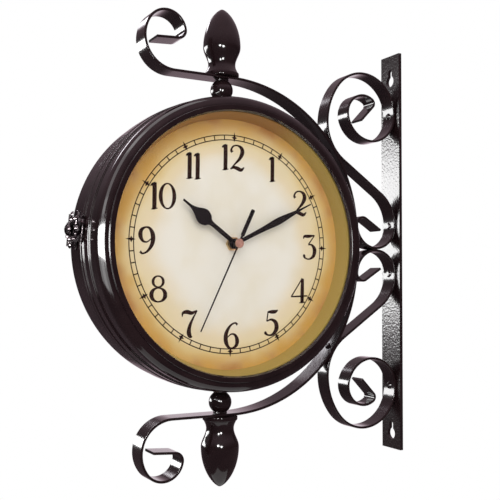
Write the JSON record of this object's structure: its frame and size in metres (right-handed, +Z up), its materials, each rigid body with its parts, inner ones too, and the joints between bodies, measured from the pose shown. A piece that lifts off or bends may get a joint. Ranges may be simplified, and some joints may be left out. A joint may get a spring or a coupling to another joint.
{
  "type": "double-sided wall clock",
  "caption": "Round two-faced clock drum on vertical pivots in a scrolled flat-bar bracket that projects from a wall strap with keyholes.",
  "frame": {"origin": "middle of the wall strap's back face, in the plane of the wall and level with the drum's middle", "axes": "+X into the wall, +Z up along the strap and the pivots, +Y from the front dial to the rear dial, so that the front dial faces -Y"},
  "size_m": [0.2953, 0.0744, 0.3784],
  "materials": {
    "bracket_enamel": "glossy baked enamel, very dark brown, slight orange peel",
    "case_enamel": "glossy baked enamel, very dark brown",
    "glass": "clear polished",
    "recess_gold": "satin olive gold",
    "dial_print": "matt print, cream in the middle and amber at the edge",
    "hand_enamel": "satin black-brown",
    "brass": "satin",
    "antique_brass": "dark antique, rubbed bright on the edges",
    "steel": "plain",
    "movement_plastic": "matt moulded",
    "wheel_plastic": "natural moulded",
    "battery_jacket": "gloss",
    "board_plastic": "lacquered board"
  },
  "bodies": {
    "bracket": {"wall_strap": "bracket_enamel", "c_arm": "bracket_enamel", "upper_scroll": "bracket_enamel", "lower_scroll": "bracket_enamel", "bracket_rivets": "bracket_enamel", "top_finial": "bracket_enamel", "bottom_finial": "bracket_enamel", "pivot_balls": "bracket_enamel", "pivot_studs": "steel"},
    "drum": {"rear_shell": "case_enamel", "rear_glass": "glass", "rear_recess_ring": "recess_gold", "rear_dial": "dial_print", "rear_retaining_ring": "case_enamel", "rear_movement_case": "movement_plastic", "rear_movement_cover": "movement_plastic", "rear_dial_nut": "brass", "rear_battery": "battery_jacket", "rear_motor_board": "board_plastic", "seam_ring": "case_enamel", "pivot_bushes": "brass", "hinge_rear_leaf": "case_enamel", "hinge_pin": "steel", "clasp_plate": "antique_brass", "clasp_pin": "steel"},
    "front_half": {"front_shell": "case_enamel", "front_glass": "glass", "front_recess_ring": "recess_gold", "front_dial": "dial_print", "front_retaining_ring": "case_enamel", "front_movement_case": "movement_plastic", "front_movement_cover": "movement_plastic", "front_dial_nut": "brass", "front_battery": "battery_jacket", "front_motor_board": "board_plastic", "hinge_front_leaf": "case_enamel", "clasp_catch": "antique_brass"},
    "clasp_tongue": {"clasp_tongue": "antique_brass"},
    "front_second": {"front_second_wheel": "wheel_plastic", "front_second_hand": "hand_enamel"},
    "front_minute": {"front_minute_wheel": "wheel_plastic", "front_minute_hand": "hand_enamel"},
    "front_hour": {"front_hour_wheel": "wheel_plastic", "front_hour_hand": "hand_enamel"},
    "front_third": {"front_third_wheel": "wheel_plastic"},
    "front_motion": {"front_motion_wheel": "wheel_plastic"},
    "front_drive": {"front_drive_wheel": "wheel_plastic"},
    "front_rotor": {"front_rotor": "wheel_plastic"},
    "front_knob": {"front_setting_knob": "movement_plastic"},
    "rear_second": {"rear_second_wheel": "wheel_plastic", "rear_second_hand": "hand_enamel"},
    "rear_minute": {"rear_minute_wheel": "wheel_plastic", "rear_minute_hand": "hand_enamel"},
    "rear_hour": {"rear_hour_wheel": "wheel_plastic", "rear_hour_hand": "hand_enamel"},
    "rear_third": {"rear_third_wheel": "wheel_plastic"},
    "rear_motion": {"rear_motion_wheel": "wheel_plastic"},
    "rear_drive": {"rear_drive_wheel": "wheel_plastic"},
    "rear_rotor": {"rear_rotor": "wheel_plastic"},
    "rear_knob": {"rear_setting_knob": "movement_plastic"}
  },
  "joints": [
    {"name": "drum_swivel", "type": "hinge", "parent": "bracket", "child": "drum", "pos_m": [-0.172, 0, 0], "axis": [0, 0, 1], "continuous": true},
    {"name": "front_opening", "type": "hinge", "parent": "drum", "child": "front_half", "pos_m": [-0.055, 0, 0], "axis": [0, 0, 1], "range_deg": [0, 35]},
    {"name": "clasp_flip", "type": "hinge", "parent": "drum", "child": "clasp_tongue", "pos_m": [-0.28948, 0.019, 0.00863], "axis": [-0.0732, 0, -0.9973], "range_deg": [0, 110]},
    {"name": "front_second_turn", "type": "hinge", "parent": "front_half", "child": "front_second", "pos_m": [-0.172, 0, 0], "axis": [0, 1, 0], "continuous": true},
    {"name": "front_minute_turn", "type": "hinge", "parent": "front_half", "child": "front_minute", "pos_m": [-0.172, 0, 0], "axis": [0, 1, 0], "continuous": true},
    {"name": "front_hour_turn", "type": "hinge", "parent": "front_half", "child": "front_hour", "pos_m": [-0.172, 0, 0], "axis": [0, 1, 0], "continuous": true},
    {"name": "front_third_turn", "type": "hinge", "parent": "front_half", "child": "front_third", "pos_m": [-0.15976, 0, 0], "axis": [0, 1, 0], "continuous": true},
    {"name": "front_motion_turn", "type": "hinge", "parent": "front_half", "child": "front_motion", "pos_m": [-0.172, 0, 0.008], "axis": [0, 1, 0], "continuous": true},
    {"name": "front_drive_turn", "type": "hinge", "parent": "front_half", "child": "front_drive", "pos_m": [-0.18152, 0, 0], "axis": [0, 1, 0], "continuous": true},
    {"name": "front_rotor_turn", "type": "hinge", "parent": "front_half", "child": "front_rotor", "pos_m": [-0.18968, 0, 0], "axis": [0, 1, 0], "continuous": true},
    {"name": "front_knob_turn", "type": "hinge", "parent": "front_half", "child": "front_knob", "pos_m": [-0.172, 0, 0.0136], "axis": [0, 1, 0], "continuous": true},
    {"name": "rear_second_turn", "type": "hinge", "parent": "drum", "child": "rear_second", "pos_m": [-0.172, 0, 0], "axis": [0, -1, 0], "continuous": true},
    {"name": "rear_minute_turn", "type": "hinge", "parent": "drum", "child": "rear_minute", "pos_m": [-0.172, 0, 0], "axis": [0, -1, 0], "continuous": true},
    {"name": "rear_hour_turn", "type": "hinge", "parent": "drum", "child": "rear_hour", "pos_m": [-0.172, 0, 0], "axis": [0, -1, 0], "continuous": true},
    {"name": "rear_third_turn", "type": "hinge", "parent": "drum", "child": "rear_third", "pos_m": [-0.18424, 0, 0], "axis": [0, -1, 0], "continuous": true},
    {"name": "rear_motion_turn", "type": "hinge", "parent": "drum", "child": "rear_motion", "pos_m": [-0.172, 0, 0.008], "axis": [0, -1, 0], "continuous": true},
    {"name": "rear_drive_turn", "type": "hinge", "parent": "drum", "child": "rear_drive", "pos_m": [-0.16248, 0, 0], "axis": [0, -1, 0], "continuous": true},
    {"name": "rear_rotor_turn", "type": "hinge", "parent": "drum", "child": "rear_rotor", "pos_m": [-0.15432, 0, 0], "axis": [0, -1, 0], "continuous": true},
    {"name": "rear_knob_turn", "type": "hinge", "parent": "drum", "child": "rear_knob", "pos_m": [-0.172, 0, 0.0136], "axis": [0, -1, 0], "continuous": true}
  ],
  "couplings": [
    {"joint": "front_minute_turn", "follows": "front_second_turn", "ratio": 0.016667},
    {"joint": "front_hour_turn", "follows": "front_second_turn", "ratio": 0.0013889},
    {"joint": "front_third_turn", "follows": "front_second_turn", "ratio": -0.13333},
    {"joint": "front_motion_turn", "follows": "front_second_turn", "ratio": -0.0055556},
    {"joint": "front_drive_turn", "follows": "front_second_turn", "ratio": -6},
    {"joint": "front_rotor_turn", "follows": "front_second_turn", "ratio": 30},
    {"joint": "front_knob_turn", "follows": "front_second_turn", "ratio": -0.066667},
    {"joint": "rear_minute_turn", "follows": "rear_second_turn", "ratio": 0.016667},
    {"joint": "rear_hour_turn", "follows": "rear_second_turn", "ratio": 0.0013889},
    {"joint": "rear_third_turn", "follows": "rear_second_turn", "ratio": -0.13333},
    {"joint": "rear_motion_turn", "follows": "rear_second_turn", "ratio": -0.0055556},
    {"joint": "rear_drive_turn", "follows": "rear_second_turn", "ratio": -6},
    {"joint": "rear_rotor_turn", "follows": "rear_second_turn", "ratio": 30},
    {"joint": "rear_knob_turn", "follows": "rear_second_turn", "ratio": -0.066667}
  ]
}
